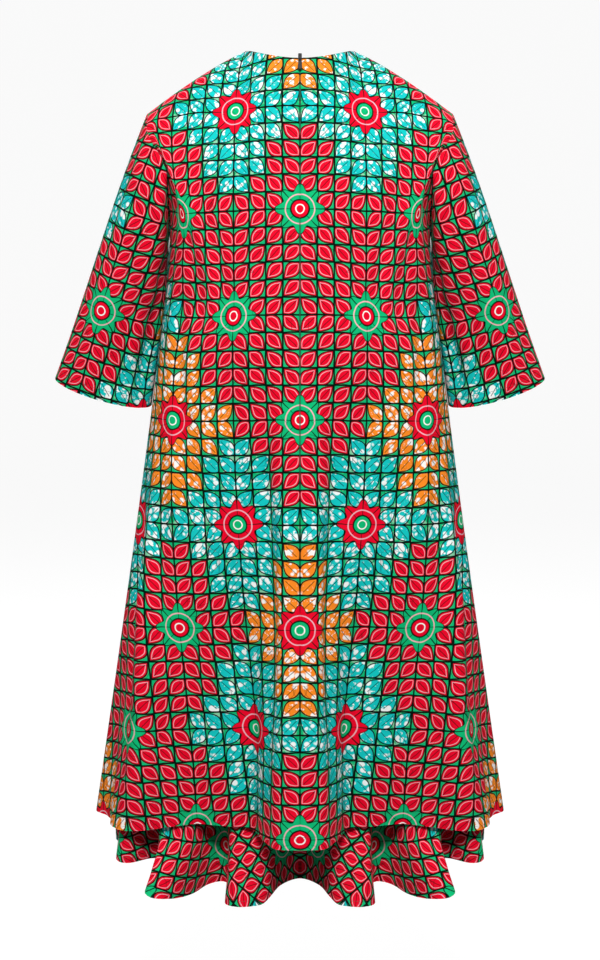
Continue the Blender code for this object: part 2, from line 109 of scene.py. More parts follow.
# Flounce, a circular cut sewn inside the skirt. Columns: angle, and how far in from the skirt
# its hem lies. Troughs and crests take turns.
FLOUNCE_WAVES = (
    (0, 0.125),
    (16, -0.026),
    (27, 0.060),
    (40, -0.050),
    (50, 0.062),
    (60, 0.004),
    (74, 0.045),
    (90, 0.026),
    (101, 0.070),
    (112, -0.014),
    (123, 0.066),
    (135, -0.008),
    (147, 0.072),
    (158, -0.016),
    (169, 0.066),
    (180, -0.018),
)
FLOUNCE_SIDE_WAVE = 7
FLOUNCE_SEAM_Z = -0.960
FLOUNCE_HEM_Z = -1.196
FLOUNCE_SIDE_LIFT = 0.060
FLOUNCE_LIFT_BACK = (26, 66)
FLOUNCE_FRONT_FALL = 0.030
FLOUNCE_FALL_FRONT = (96, 140)
FLOUNCE_TROUGH_LIFT = 0.20
FLOUNCE_SEAM_INSET = 0.0024
FLOUNCE_HANG_INSET = 0.0060
FLOUNCE_HANG_FULL = 0.35
FLOUNCE_GROWTH = 1.2
FLOUNCE_ROLL = 0.006

# Sleeves
CUFF_OUTER = (0.352, -0.4600)
CUFF_INNER = (0.2135, -0.4990)
CUFF_FORWARD = 0.036
CUFF_HALF_DEPTH = 0.046
CUFF_BOW = 0.012
OVERARM_LEAVE = (0.38, 0, -0.90)
UNDERARM_LEAVE = (0.02, 0, -0.98)
OVERARM_ARRIVE = (0.36, 0.09, -0.93)
UNDERARM_ARRIVE = (0.14, 0.09, -1.00)
SLEEVE_ROUND = 0.10
SLEEVE_TOP_GAP = 0.0009
SLEEVE_UNDERARM_GAP = 0.0009
SLEEVE_CLEARANCE = 0.0009

# Zip behind the centre-back seam
ZIP_TAPE = 0.001
ZIP_CLEARANCE = 0.0005
ZIP_SKIRT_ROWS = 3
COIL_SINK = 0.0001

# Resolution
WAVE_STEPS = 4
NECK_SHARE = 0.21
SHOULDER_SHARE = 0.29
YOKE_STEPS = (0, 0.07, 0.18, 0.34, 0.54, 0.77)
SKIRT_ROWS = 8
SLEEVE_ROWS = 6
FLOUNCE_ROWS = 6
LEVEL_STEPS = 8


def smooth(low, high, value):
    """0 below low, 1 above high and an even curve between them."""
    share = np.clip((value - low) / (high - low), 0, 1)
    return share * share * (3 - 2 * share)


def mixed(first, second, share):
    """First where the share is 0 and second where it is 1."""
    return first + (second - first) * share


def curve(share, start, leave, end, arrive):
    """A smooth curve from start to end with these slopes at its ends."""
    return (
        (2 * share ** 3 - 3 * share ** 2 + 1) * start
        + (share ** 3 - 2 * share ** 2 + share) * leave
        + (3 * share ** 2 - 2 * share ** 3) * end
        + (share ** 3 - share ** 2) * arrive
    )


def unit(vectors):
    """The same directions with length 1."""
    return vectors / np.linalg.norm(vectors, axis=-1, keepdims=True)


def steps_along(points, axis=0):
    """The distances between neighbouring points along an axis of a line or a grid."""
    return np.linalg.norm(np.diff(points, axis=axis), axis=-1)


def running(steps, axis=0):
    """0 and the running sum of steps along an axis."""
    total = np.cumsum(steps, axis=axis)
    return np.concatenate([0 * total.take([0], axis=axis), total], axis=axis)


def trough_depth(angle):
    """How deep the outer skirt's folds are at its hem, at an angle in radians from centre back."""
    degrees = np.degrees(angle)
    depth = 0
    for start, full, ending, end, deepest in SKIRT_TROUGHS:
        depth = depth + deepest * smooth(start, full, degrees) * (1 - smooth(ending, end, degrees))
    return depth


def skirt(angle, level):
    """The outer cloth's middle and outward directions, from level 0 at the bust to 1 at the hem."""
    flare = np.maximum(level, 0) ** FLARE_CURVE
    half_width = BUST_HALF_WIDTH + HEM_EXTRA_WIDTH * flare
    back = mixed(BUST_BACK_DEPTH, HEM_BACK_DEPTH, level)
    front = mixed(BUST_FRONT_DEPTH, HEM_FRONT_DEPTH, level)
    across, along = np.sin(angle), np.cos(angle)
    depth = np.where(along > 0, back, front)
    x = half_width * np.abs(across) ** (2 / SQUARENESS)
    y = -np.sign(along) * depth * np.abs(along) ** (2 / SQUARENESS)
    out_x = np.abs(x / half_width) ** (SQUARENESS - 1) / half_width
    out_y = np.sign(y) * np.abs(y / depth) ** (SQUARENESS - 1) / depth
    size = np.hypot(out_x, out_y)
    out = np.stack([out_x / size, out_y / size, np.zeros_like(size)], -1)
    growth = np.clip((level - FOLD_START) / (1 - FOLD_START), 0, 1) ** FOLD_GROWTH
    fold = trough_depth(angle) * growth
    lift = TROUGH_HEM_LIFT * fold + HEM_SIDE_LIFT * across ** 2
    z = mixed(BUST_Z, HEM_Z, level) + lift * growth
    points = np.stack([x, y + HEM_FORWARD * level, z], -1) - out * fold[..., None]
    return points, out


def ring_angles(back):
    """The columns' angles from the centre to the side seam, evenly spaced in each flounce wave."""
    places = [place for place, _ in FLOUNCE_WAVES]
    places = places[:FLOUNCE_SIDE_WAVE + 1] if back else places[:FLOUNCE_SIDE_WAVE - 1:-1]
    steps = [np.linspace(a, b, WAVE_STEPS + 1)[:-1] for a, b in zip(places, places[1:])]
    return np.radians(np.append(np.concatenate(steps), places[-1]))


def neckline(share, back):
    """From the centre (0) to the high point of the shoulder (1)."""
    turn = share * math.pi / 2
    reach = -BACK_NECK_REACH if back else FRONT_NECK_REACH
    drop, power = (BACK_NECK_DROP, BACK_NECK_ROUND) if back else (FRONT_NECK_DROP, FRONT_NECK_ROUND)
    y = SHOULDER_FORWARD + (reach - SHOULDER_FORWARD) * np.cos(turn)
    return np.stack([NECK_HALF_WIDTH * np.sin(turn), y, -drop * np.cos(turn) ** power], -1)


def shoulder(share):
    """From the high point of the shoulder (0) to its tip (1)."""
    x = mixed(NECK_HALF_WIDTH, TIP_X, share)
    z = TIP_Z * share ** SHOULDER_FALL + SHOULDER_RISE * np.sin(math.pi * share)
    return np.stack([x, SHOULDER_FORWARD * (1 - share), z], -1)


def armhole(share, back):
    """From the tip of the shoulder (0) to the underarm (1)."""
    bow = np.sin(math.pi * np.clip(share, 0, 1))
    x = mixed(TIP_X, UNDERARM_X, smooth(*ARMHOLE_TURN, share))
    if not back:
        x = x - FRONT_ARMHOLE_SCOOP * bow
    reach = -BACK_ARMHOLE_REACH if back else FRONT_ARMHOLE_REACH
    return np.stack([x, reach * bow ** ARMHOLE_ROUND, mixed(TIP_Z, UNDERARM_Z, share)], -1)


def top_columns(back):
    """How many columns end on the neckline, on the shoulder seam and on the armhole."""
    columns = len(ring_angles(back)) - 1
    neck = round(NECK_SHARE * columns)
    top = round(SHOULDER_SHARE * columns)
    return neck, top, columns - neck - top


def top_edge(back):
    """The panel's top edge, one point for each column from the centre to the underarm."""
    neck, top, arm = top_columns(back)
    return np.concatenate([
        neckline(np.arange(neck) / neck, back),
        shoulder(np.arange(top) / top),
        armhole(np.arange(arm + 1) / arm, back),
    ])


def yoke_leave(back):
    """The direction in which the cloth leaves the top edge at each column."""
    neck, top, arm = top_columns(back)
    tip = neck + top
    table = YOKE_BACK if back else YOKE_FRONT
    places = (0, neck, neck + top / 2, tip, tip + arm * 0.3, tip + arm * 0.6, tip + arm)
    columns = np.arange(tip + arm + 1)
    slope = np.radians(np.interp(columns, places, [slope for slope, _ in table]))
    inward = np.interp(columns, places, [inward for _, inward in table])
    facing = -1 if back else 1
    return unit(np.stack([-inward, facing * np.cos(slope), -np.sin(slope)], -1))


def half_body(back):
    """Rows of points from the top edge to the hem, for x of 0 and more."""
    angle = ring_angles(back)
    top = top_edge(back)
    bust, _ = skirt(angle, np.zeros_like(angle))
    run = YOKE_TENSION * np.linalg.norm(bust - top, axis=1)[:, None]
    leave = run * yoke_leave(back)
    arrive = run * np.array([0, 0, -1.0])
    rows = [curve(step, top, leave, bust, arrive) for step in YOKE_STEPS]
    for level in np.arange(SKIRT_ROWS + 1) / SKIRT_ROWS:
        rows.append(skirt(angle, np.full_like(angle, level))[0])
    grid = np.array(rows)
    for row in range(1, len(YOKE_STEPS)):
        for _ in range(YOKE_SMOOTHINGS):
            sides = (grid[row, :-2] + grid[row, 2:]) / 2
            grid[row, 1:-1] = (grid[row, 1:-1] + sides) / 2
    if not back:
        apart = np.hypot((grid[..., 0] - BUST_POINT[0]) / BUST_SPREAD[0],
                         (grid[..., 2] - BUST_POINT[1]) / BUST_SPREAD[1])
        grid[..., 1] += BUST_FULLNESS * np.exp(-apart ** 2)
    return grid


def flounce_wave(angle):
    """(how far in the flounce's hem lies, how far its cloth rolls sideways) at each angle."""
    degrees = np.degrees(angle)
    places = np.array([place for place, _ in FLOUNCE_WAVES], float)
    insets = np.array([inset for _, inset in FLOUNCE_WAVES])
    first = np.clip(np.searchsorted(places, degrees, side="right") - 1, 0, len(places) - 2)
    share = (degrees - places[first]) / (places[first + 1] - places[first])
    inset = mixed(insets[first], insets[first + 1], (1 - np.cos(math.pi * share)) / 2)
    return inset, FLOUNCE_ROLL * np.sin(2 * math.pi * share)


def facing_out(points, out):
    """The level direction square to a ring of points, away from the middle of the body."""
    along = np.gradient(points[:, :2], axis=0)
    square = unit(np.stack([along[:, 1], -along[:, 0], 0 * along[:, 0]], -1))
    square = square * np.sign(np.sum(square * out, axis=1, keepdims=True))
    square[0], square[-1] = out[0], out[-1]
    return square


def level_at(angle, z):
    """The level of the outer skirt that lies at a height, with the lift of its folds taken in."""
    level = (z - BUST_Z) / (HEM_Z - BUST_Z)
    for _ in range(LEVEL_STEPS):
        level = level - (skirt(angle, level)[0][:, 2] - z) / (HEM_Z - BUST_Z)
    return level


def half_flounce(back):
    """Rows of points from the flounce's seam to its hem, for x of 0 and more."""
    angle = ring_angles(back)
    inset, roll = flounce_wave(angle)
    hem = (
        FLOUNCE_HEM_Z
        + FLOUNCE_SIDE_LIFT * smooth(*FLOUNCE_LIFT_BACK, np.degrees(angle))
        - FLOUNCE_FRONT_FALL * smooth(*FLOUNCE_FALL_FRONT, np.degrees(angle))
        + FLOUNCE_TROUGH_LIFT * np.maximum(inset, 0)
    )
    rows = []
    for share in np.arange(FLOUNCE_ROWS + 1) / FLOUNCE_ROWS:
        z = mixed(FLOUNCE_SEAM_Z, hem, share)
        points, out = skirt(angle, level_at(angle, z))
        below = np.clip((HEM_Z - z) / (HEM_Z - hem), 0, 1)
        hang = FLOUNCE_SEAM_INSET + FLOUNCE_HANG_INSET * smooth(0, FLOUNCE_HANG_FULL, share)
        inward = np.maximum(inset, 0) * share ** FLOUNCE_GROWTH + np.minimum(inset, 0) * below
        sideways = np.stack([-out[:, 1], out[:, 0], 0 * z], -1) * (roll * share)[:, None]
        points = points - facing_out(points, out) * hang - out * inward[:, None] + sideways
        points[:, 2] = z
        rows.append(points)
    return np.array(rows)


def half_sleeve(back):
    """Rows of points from armhole to cuff, for x of 0 and more, from overarm to underarm."""
    columns = top_columns(back)[2]
    turn = math.pi * np.arange(columns + 1) / columns
    under = ((1 - np.cos(turn)) / 2)[:, None]
    facing = -1 if back else 1
    top = armhole(turn / math.pi, back)
    top[:, 0] += mixed(SLEEVE_TOP_GAP, SLEEVE_UNDERARM_GAP, under[:, 0])
    outer, inner = np.array(CUFF_OUTER), np.array(CUFF_INNER)
    middle, half = (outer + inner) / 2, (outer - inner) / 2
    cuff = np.stack([
        middle[0] + half[0] * np.cos(turn),
        CUFF_FORWARD + facing * CUFF_HALF_DEPTH * np.sin(turn),
        middle[1] + half[1] * np.cos(turn) - CUFF_BOW * np.sin(turn),
    ], -1)
    run = np.linalg.norm(cuff - top, axis=1)[:, None]
    leave = mixed(np.array(OVERARM_LEAVE), np.array(UNDERARM_LEAVE), under)
    leave[:, 1] = facing * SLEEVE_ROUND * np.sin(turn)
    arrive = mixed(np.array(OVERARM_ARRIVE), np.array(UNDERARM_ARRIVE), under)
    steps = np.arange(SLEEVE_ROWS + 1) / SLEEVE_ROWS
    grid = np.array([curve(step, top, run * leave, cuff, run * arrive) for step in steps])
    level = np.clip((grid[..., 2] - BUST_Z) / (HEM_Z - BUST_Z), 0, 1)
    body_side = BUST_HALF_WIDTH + HEM_EXTRA_WIDTH * level ** FLARE_CURVE + SLEEVE_CLEARANCE
    below = grid[..., 2] < UNDERARM_Z
    grid[..., 0] = np.where(below, np.maximum(grid[..., 0], body_side), grid[..., 0])
    return grid


def mirrored(grid):
    """The same panel for the wearer's left side."""
    return (grid * np.array([-1, 1, 1]))[:, ::-1]


def whole(half):
    """Both sides of a panel cut on the fold, from the wearer's left to right."""
    return np.concatenate([mirrored(half)[:, :-1], half], axis=1)


# The shells' cloth, finer than the solids' wall
LAYER = 0.0008
FINE_COLUMN = 0.0045
FINE_ROW = 0.0085
EDGE_STEPS = (0.0007, 0.0016, 0.0030, 0.0050)
EDGE_CLEAR = 1.3
# What keeps curves from overshooting and the flounce's folds from pinching
SLOPE_LIMIT = 1.5
GRID_ROUNDS = 2
MOVE_ROUNDS = 12
# Seams that roll in, and the hem's second layer
SEAM_DIP = 0.0011
SEAM_DIP_WIDTH = 0.0022
ARMHOLE_DIP = 0.0036
ARMHOLE_DIP_WIDTH = 0.0075
HEM_TURN = 0.020
HEM_EXTRA = 0.0009
HEM_STEP = 0.0008
# How deeply each seam dips, as shares of SEAM_DIP
BACK_SEAMS = {"first": 1.9, "last": 0.6, "top": 1.0}
FRONT_SEAMS = {"first": 0.6, "last": 0.6, "top": 1.0}
SLEEVE_SEAMS = {"first": 1.0, "last": 1.0, "top": 0.6}
FLOUNCE_SEAMS = {"first": 0.4, "last": 0.4}
# Flattening of the panels
FLAT_ROUNDS = 1200
TINY = 1e-6
STRAIGHT_HOLD = 0.001
ROUND_HOLD = 0.03

# Creases on each panel, given on its flat cut for one side and mirrored. u runs from the centre
# or the overarm seam, and v is the height above the reference row. In millimetres.
# Columns: u and v of the upper end, u and v of the lower end, half width, depth.
# A ridge has a depth below 0.
BACK_CREASES = (
    (186, 110, 150, -100, 14, 6.2),
    (190, 20, 172, -320, 13, 5.5),
    (172, 160, 106, -40, 13, 4.5),
    (118, 110, 98, -330, 22, 3.6),
    (72, 20, 80, -260, 20, -2.5),
    (46, -100, 58, -740, 15, 8.5),
    (16, -240, 18, -720, 13, -4.5),
    (100, -340, 120, -790, 18, 7),
    (142, -280, 178, -790, 18, -7),
    (196, -160, 238, -790, 15, 8.5),
    (232, -310, 280, -795, 14, -6),
    (256, -280, 318, -795, 13, 7),
    (50, 262, 40, 90, 16, 2.2),
    (116, 262, 106, 130, 18, 2.6),
    (160, 215, 150, 120, 12, 2.4),
)
FRONT_CREASES = (
    (182, 80, 120, -40, 16, 5.2),
    (196, 20, 186, -320, 13, 4.6),
    (104, 20, 112, -420, 22, 4),
    (70, -60, 78, -560, 20, -3.6),
    (34, -20, 40, -740, 18, 4.2),
    (150, -180, 168, -760, 18, 5.4),
    (196, -280, 226, -780, 17, -4.8),
    (232, -220, 276, -785, 15, 5.2),
    (272, -340, 330, -785, 14, 4.4),
    (92, 215, 82, 100, 16, 2.6),
)
SLEEVE_BACK_CREASES = (
    (150, 260, 152, 20, 17, 9),
    (20, 350, 45, 180, 13, 3.4),
    (70, 300, 150, 170, 12, 4.6),
    (55, 235, 140, 110, 11, 3.6),
    (60, 190, 66, 10, 15, -3.4),
    (100, 160, 108, 4, 13, 4.2),
    (30, 150, 26, 10, 13, 3),
    (145, 120, 150, 10, 11, 3),
)
SLEEVE_FRONT_CREASES = (
    (30, 340, 60, 190, 14, 3.2),
    (85, 280, 155, 150, 12, 5),
    (50, 210, 130, 90, 12, 3.8),
    (85, 150, 92, 4, 14, 3.8),
    (35, 160, 34, 10, 13, -3),
    (135, 140, 140, 10, 12, 3.2),
)
# How far (in half widths) and how often a crease sways, and where along it it comes and goes
CREASE_SWAY = 0.25
CREASE_BENDS = 2.4
CREASE_COMES = (-0.05, 0.35)
CREASE_GOES = (0.72, 1.08)
# Creases fade out between these distances from a seam
CREASE_FADE = (0.002, 0.045)

# The print. Colours are linear.
CELL = 0.024
ZONE_CELLS = (8, 12)
DARK = (0.002, 0.006, 0.004, 1.0)
GREEN = (0.004, 0.470, 0.170, 1.0)
RED = (0.800, 0.0015, 0.022, 1.0)
TEAL = (0.006, 0.540, 0.515, 1.0)
ORANGE = (0.920, 0.250, 0.018, 1.0)
PALE = (0.930, 0.930, 0.910, 1.0)
PINK = (0.820, 0.420, 0.500, 1.0)
# How far the printing drifts, and the print's sizes as shares of a cell
DRIFT = 0.10
DIAGONAL = 0.7071
LEAF_REACH = 0.66
LEAF_BELLY = 0.45
LEAF_HALF_WIDTH = 0.43
LEAF_OUTLINE = 0.075
LEAF_PINK_LINE = (0.150, 0.192)
VEIN = (0.020, 0.44)
SQUARE_LINE = 0.050
PETALS = 8.0
PETAL_REACH = 1.22
PETAL_WAVE = 0.20
PETAL_OUTLINE = 0.07
RING_HALF_WIDTH = 0.035
PINK_RING = 0.84
DARK_DISC = 0.58
HEART = 0.49
PALE_RING = 0.26
# Threads, and the heights in metres of what is bump
THREAD_PITCH = 0.0011
THREAD_HEIGHT = 0.00006
PUCKER_HEIGHT = 0.0004
CRUMPLE_HEIGHT = 0.0022
TAPE_RIB = 0.0009
TAPE_RIB_HEIGHT = 0.0001
BUMP_STRENGTH = 0.75
METAL_ROUGHNESS = 0.34


def places_along(grid, axis):
    """Where a grid's rows or columns lie on a line, from their mean distances."""
    return running(steps_along(grid, axis).mean(axis=1 - axis))


def eased(values, places, wanted):
    """A smooth curve through values at places along the first axis, read at the wanted places.

    No slope is much steeper than the flatter side of its point, so the curve never doubles back.
    """
    slopes = np.gradient(values, places, axis=0)
    steps = np.abs(np.diff(values, axis=0) / np.diff(places)[:, None, None])
    steepest = SLOPE_LIMIT * np.minimum(steps[:-1], steps[1:])
    slopes[1:-1] = np.clip(slopes[1:-1], -steepest, steepest)
    first = np.clip(np.searchsorted(places, wanted, side="right") - 1, 0, len(places) - 2)
    run = (places[first + 1] - places[first])[:, None, None]
    share = (wanted - places[first])[:, None, None] / run
    second = first + 1
    return curve(share, values[first], run * slopes[first], values[second], run * slopes[second])


def fine_places(places, step):
    """Evenly spaced places from end to end, with closer ones next to both edges."""
    length = places[-1]
    even = np.linspace(0, length, round(length / step) + 1)
    clear = EDGE_STEPS[-1] * EDGE_CLEAR
    even = even[(even > clear) & (even < length - clear)]
    near = np.array((0,) + EDGE_STEPS)
    return np.concatenate([near, even, (length - near)[::-1]])


def refined(grid, flat, shared, exact_top, centre):
    """The grid and its flat cut with finer rows and columns.

    Rows are spaced along the shared columns, so that panels which meet there have the same ones.
    The first row lies on the exact edge where one is given.
    """
    both = np.concatenate([grid, flat], axis=2)
    rows = places_along(grid[:, list(shared)], 0)
    columns = places_along(grid, 1)
    row_places, column_places = fine_places(rows, FINE_ROW), fine_places(columns, FINE_COLUMN)
    both = eased(both, rows, row_places)
    both = eased(both.transpose(1, 0, 2), columns, column_places).transpose(1, 0, 2)
    grid, flat = both[..., :3], both[..., 3:]
    column = np.interp(column_places, columns, np.arange(len(columns))) - centre
    if exact_top is not None:
        fade = 1 - smooth(0, rows[1], row_places)
        grid = grid + fade[:, None, None] * (exact_top(column) - grid[0])
    return grid, flat, column


def laid_flat(grid, start, hold):
    """Flat places for a grid's points, so that its threads and diagonals keep their lengths.

    hold is how strongly the points keep to the first guess, so that no deep fold turns over.
    """
    flat = start.copy()
    whole_axis, head, rest = slice(None), slice(None, -1), slice(1, None)
    links = (
        ((whole_axis, head), (whole_axis, rest)),
        ((head, whole_axis), (rest, whole_axis)),
        ((head, head), (rest, rest)),
        ((head, rest), (rest, head)),
    )
    lengths = [np.linalg.norm(grid[b] - grid[a], axis=2, keepdims=True) for a, b in links]
    count = np.zeros(flat.shape[:2] + (1,))
    for a, b in links:
        count[a] += 1
        count[b] += 1
    for _ in range(FLAT_ROUNDS):
        push = np.zeros_like(flat)
        for (a, b), length in zip(links, lengths):
            way = flat[b] - flat[a]
            now = np.linalg.norm(way, axis=2, keepdims=True)
            move = way * (0.5 * (1 - length / np.maximum(now, TINY)))
            push[a] += move
            push[b] -= move
        flat += push / count + hold * (start - flat)
        flat[:, 0, 0] = 0
    return flat


def straight_start(grid, level_row):
    """A first guess of a panel's flat cut: widths square to its columns, lengths along them."""
    down = unit(np.gradient(grid, axis=0))
    steps = np.diff(grid, axis=1)
    middle = (down[:, 1:] + down[:, :-1]) / 2
    square = steps - middle * np.sum(steps * middle, axis=2, keepdims=True)
    across = running(np.linalg.norm(square, axis=2), 1)
    run = running(steps_along(grid))
    return np.stack([across, run[level_row] - run], axis=-1)


def round_start(grid):
    """A first guess of a circular cut: a ring's sector whose inner edge is the first row."""
    seam = running(steps_along(grid[0]))
    hem = running(steps_along(grid[-1]))
    down = places_along(grid, 0)
    turn = (hem[-1] - seam[-1]) / down[-1]
    radius = seam[-1] / turn
    theta = turn * (seam / seam[-1] + hem / hem[-1]) / 2
    reach = (radius + down)[:, None]
    return np.stack([reach * np.sin(theta), -reach * np.cos(theta) + radius], axis=-1)


def surface_normals(grid, facing):
    """Unit normals of a grid, on the side where most of them face the given way along Y."""
    normals = np.cross(np.gradient(grid, axis=1), np.gradient(grid, axis=0))
    normals = normals / np.maximum(np.linalg.norm(normals, axis=2, keepdims=True), TINY ** 2)
    return normals if normals[..., 1].mean() * facing > 0 else -normals


def crease_depth(flat, creases):
    """How far the creases move each point of a panel inward."""
    place = np.stack([np.abs(flat[..., 0]), flat[..., 1]], axis=-1)
    depth = np.zeros(place.shape[:2])
    for u_top, v_top, u_low, v_low, half_width, deepest in np.array(creases) / 1000:
        top = np.array([u_top, v_top])
        way = np.array([u_low, v_low]) - top
        length = np.linalg.norm(way)
        way = way / length
        along = (place - top) @ way / length
        sway = CREASE_SWAY * half_width * np.sin(CREASE_BENDS * math.pi * along)
        across = ((place - top) @ np.array([-way[1], way[0]]) - sway) / half_width
        fade = smooth(*CREASE_COMES, along) * (1 - smooth(*CREASE_GOES, along))
        depth += deepest * fade * np.exp(-across ** 2)
    return depth


def edge_distances(grid):
    """Each point's distance from the first and last column and from the first and last row."""
    first = running(steps_along(grid, 1), 1)
    top = running(steps_along(grid))
    return {"first": first, "last": first[:, -1:] - first, "top": top, "hem": top[-1:] - top}


def quad_strip(first, second):
    """Faces between two equally long lines of point numbers."""
    return np.stack([first[:-1], second[:-1], second[1:], first[1:]], axis=-1)


def linked(name, data):
    """A new object in the scene."""
    obj = bpy.data.objects.new(name, data)
    bpy.context.scene.collection.objects.link(obj)
    return obj


def built(name, points, faces, finish):
    """A new object with one material."""
    mesh = bpy.data.meshes.new(name)
    mesh.from_pydata(points, [], faces)
    mesh.materials.append(finish)
    return linked(name, mesh)


def shell(name, grid, flat, normals, inner_extra, finish):
    """A closed thin shell round a grid of points, with its flat cut as the UV map named cloth."""
    rows, columns, _ = grid.shape
    outer = grid + normals * (LAYER / 2)
    inner = grid - normals * (LAYER / 2 + inner_extra)[..., None]
    points = np.concatenate([outer.reshape(-1, 3), inner.reshape(-1, 3)])
    numbers = np.arange(rows * columns).reshape(rows, columns)
    quads = np.stack(
        [numbers[:-1, :-1], numbers[1:, :-1], numbers[1:, 1:], numbers[:-1, 1:]], axis=-1
    ).reshape(-1, 4)
    a, b, c = grid[0, 0], grid[1, 0], grid[1, 1]
    turned = np.dot(np.cross(b - a, c - b), normals[0, 0]) < 0
    if turned:
        quads = quads[:, ::-1]
    under = rows * columns
    border = np.concatenate(
        [numbers[0, ::-1], numbers[1:, 0], numbers[-1, 1:], numbers[-2::-1, -1]]
    )
    rim = quad_strip(border, border + under) if turned else quad_strip(border + under, border)
    faces = np.concatenate([quads, quads[:, ::-1] + under, rim])
    obj = built(name, points.tolist(), faces.tolist(), finish)
    layer = obj.data.uv_layers.new(name="cloth")
    spread = np.concatenate([flat.reshape(-1, 2), flat.reshape(-1, 2)])
    layer.data.foreach_set("uv", spread[faces.ravel()].ravel())
    obj.data.validate()
    obj.data.shade_smooth()
    return obj


def eased_sideways(values, rounds):
    """Values of a grid's points, each drawn towards its neighbours in the row."""
    for _ in range(rounds):
        middle = 0.25 * values[:, :-2] + 0.5 * values[:, 1:-1] + 0.25 * values[:, 2:]
        values = np.concatenate([values[:, :1], middle, values[:, -1:]], axis=1)
    return values


def sewn(name, grid, flat, facing, creases, seams, free, armhole_share, finish, print_place):
    """One panel: creased, rolled in at its seams, turned up at its hem, and its print laid out.

    The last two values of flat say where the creases lie. They end before each edge that isn't
    named in free.
    """
    normals = surface_normals(grid, facing)
    distance = edge_distances(grid)
    inward = crease_depth(flat[..., 2:], creases)
    for side in ("first", "last", "top"):
        if side not in free:
            inward = inward * smooth(*CREASE_FADE, distance[side])
    moves = normals * inward[..., None]
    if name.startswith("flounce"):
        grid = eased_sideways(grid, GRID_ROUNDS)
        moves = eased_sideways(moves, MOVE_ROUNDS)
    grid = grid - moves
    dip = np.zeros(grid.shape[:2])
    for side, share in seams.items():
        dip += share * SEAM_DIP * np.exp(-(distance[side] / SEAM_DIP_WIDTH) ** 2)
    grid = grid - normals * dip[..., None]
    rolled = np.exp(-(distance["top"] / ARMHOLE_DIP_WIDTH) ** 2)
    grid[..., 1] -= facing * ARMHOLE_DIP * armhole_share * rolled
    normals = surface_normals(grid, facing)
    extra = HEM_EXTRA * (1 - smooth(HEM_TURN - HEM_STEP, HEM_TURN + HEM_STEP, distance["hem"]))
    degrees, shift_u, shift_v = print_place
    turn = math.radians(degrees)
    u, v = flat[..., 0], flat[..., 1]
    laid = np.stack([
        math.cos(turn) * u - math.sin(turn) * v + shift_u,
        math.sin(turn) * u + math.cos(turn) * v + shift_v,
    ], axis=-1)
    obj = shell(name + "_cloth", grid, laid, normals, extra, finish)
    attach(obj, "dress")
    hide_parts(name)
    return obj, grid, normals, distance


class Shader:
    """Short names for a material's nodes."""

    def __init__(self, name):
        self.material = bpy.data.materials.new(name)
        self.material.use_nodes = True
        self.tree = self.material.node_tree
        self.surface = self.tree.nodes["Principled BSDF"]

    def new(self, kind):
        return self.tree.nodes.new("ShaderNode" + kind)

    def put(self, node, **inputs):
        """Sets or links a node's inputs, named by their labels or as i and their number."""
        for label, value in inputs.items():
            numbered = label[0] == "i" and label[1:].isdigit()
            socket = node.inputs[int(label[1:]) if numbered else label]
            if isinstance(value, bpy.types.NodeSocket):
                self.tree.links.new(value, socket)
            else:
                socket.default_value = value
        return node

    def math(self, operation, first, second=0.0, third=0.0):
        node = self.new("Math")
        node.operation = operation
        return self.put(node, i0=first, i1=second, i2=third).outputs[0]

    def add(self, first, second):
        return self.math("ADD", first, second)

    def less(self, first, second):
        return self.math("SUBTRACT", first, second)

    def times(self, first, second):
        return self.math("MULTIPLY", first, second)

    def size(self, value):
        return self.math("ABSOLUTE", value)

    def step(self, value, low, high):
        """0 below low and 1 above high."""
        node = self.new("MapRange")
        node.interpolation_type = "SMOOTHSTEP"
        return self.put(node, i0=value, i1=low, i2=high).outputs[0]

    def within(self, distance, reach, soft):
        """1 where the distance is less than the reach."""
        node = self.new("MapRange")
        node.interpolation_type = "SMOOTHSTEP"
        past = self.less(distance, reach)
        return self.put(node, i0=past, i1=-soft, i2=soft, i3=1.0, i4=0.0).outputs[0]

    def line(self, distance, half_width, soft):
        """1 where the distance is near 0, to either side."""
        return self.within(self.size(distance), half_width, soft)

    def other(self, share):
        return self.less(1.0, share)

    def mix(self, share, first, second):
        node = self.new("Mix")
        node.data_type = "RGBA"
        return self.put(node, i0=share, i6=first, i7=second).outputs[2]

    def noise(self, place, scale, detail=2.0, rough=0.5):
        node = self.new("TexNoise")
        return self.put(node, Vector=place, Scale=scale, Detail=detail, Roughness=rough).outputs[0]

    def bubbles(self, place, scale, feature):
        node = self.new("TexVoronoi")
        node.feature = feature
        return self.put(node, Vector=place, Scale=scale).outputs["Distance"]

    def vector(self, x, y, z=0.0):
        node = self.new("CombineXYZ")
        return self.put(node, i0=x, i1=y, i2=z).outputs[0]

    def bump(self, height, strength, distance):
        node = self.new("Bump")
        return self.put(node, Height=height, Strength=strength, Distance=distance).outputs[0]


def cloth_places(shader):
    """The flat cut's coordinates in metres, as a vector and as u and v."""
    node = shader.new("UVMap")
    node.uv_map = "cloth"
    parts = shader.new("SeparateXYZ")
    shader.put(parts, i0=node.outputs[0])
    return node.outputs[0], parts.outputs[0], parts.outputs[1]


def weave(shader, u, v, thread):
    """The height of a plain weave with threads this far apart."""
    across = shader.math("SINE", shader.times(u, 2 * math.pi / thread))
    along = shader.math("SINE", shader.times(v, 2 * math.pi / thread))
    return shader.times(across, along)


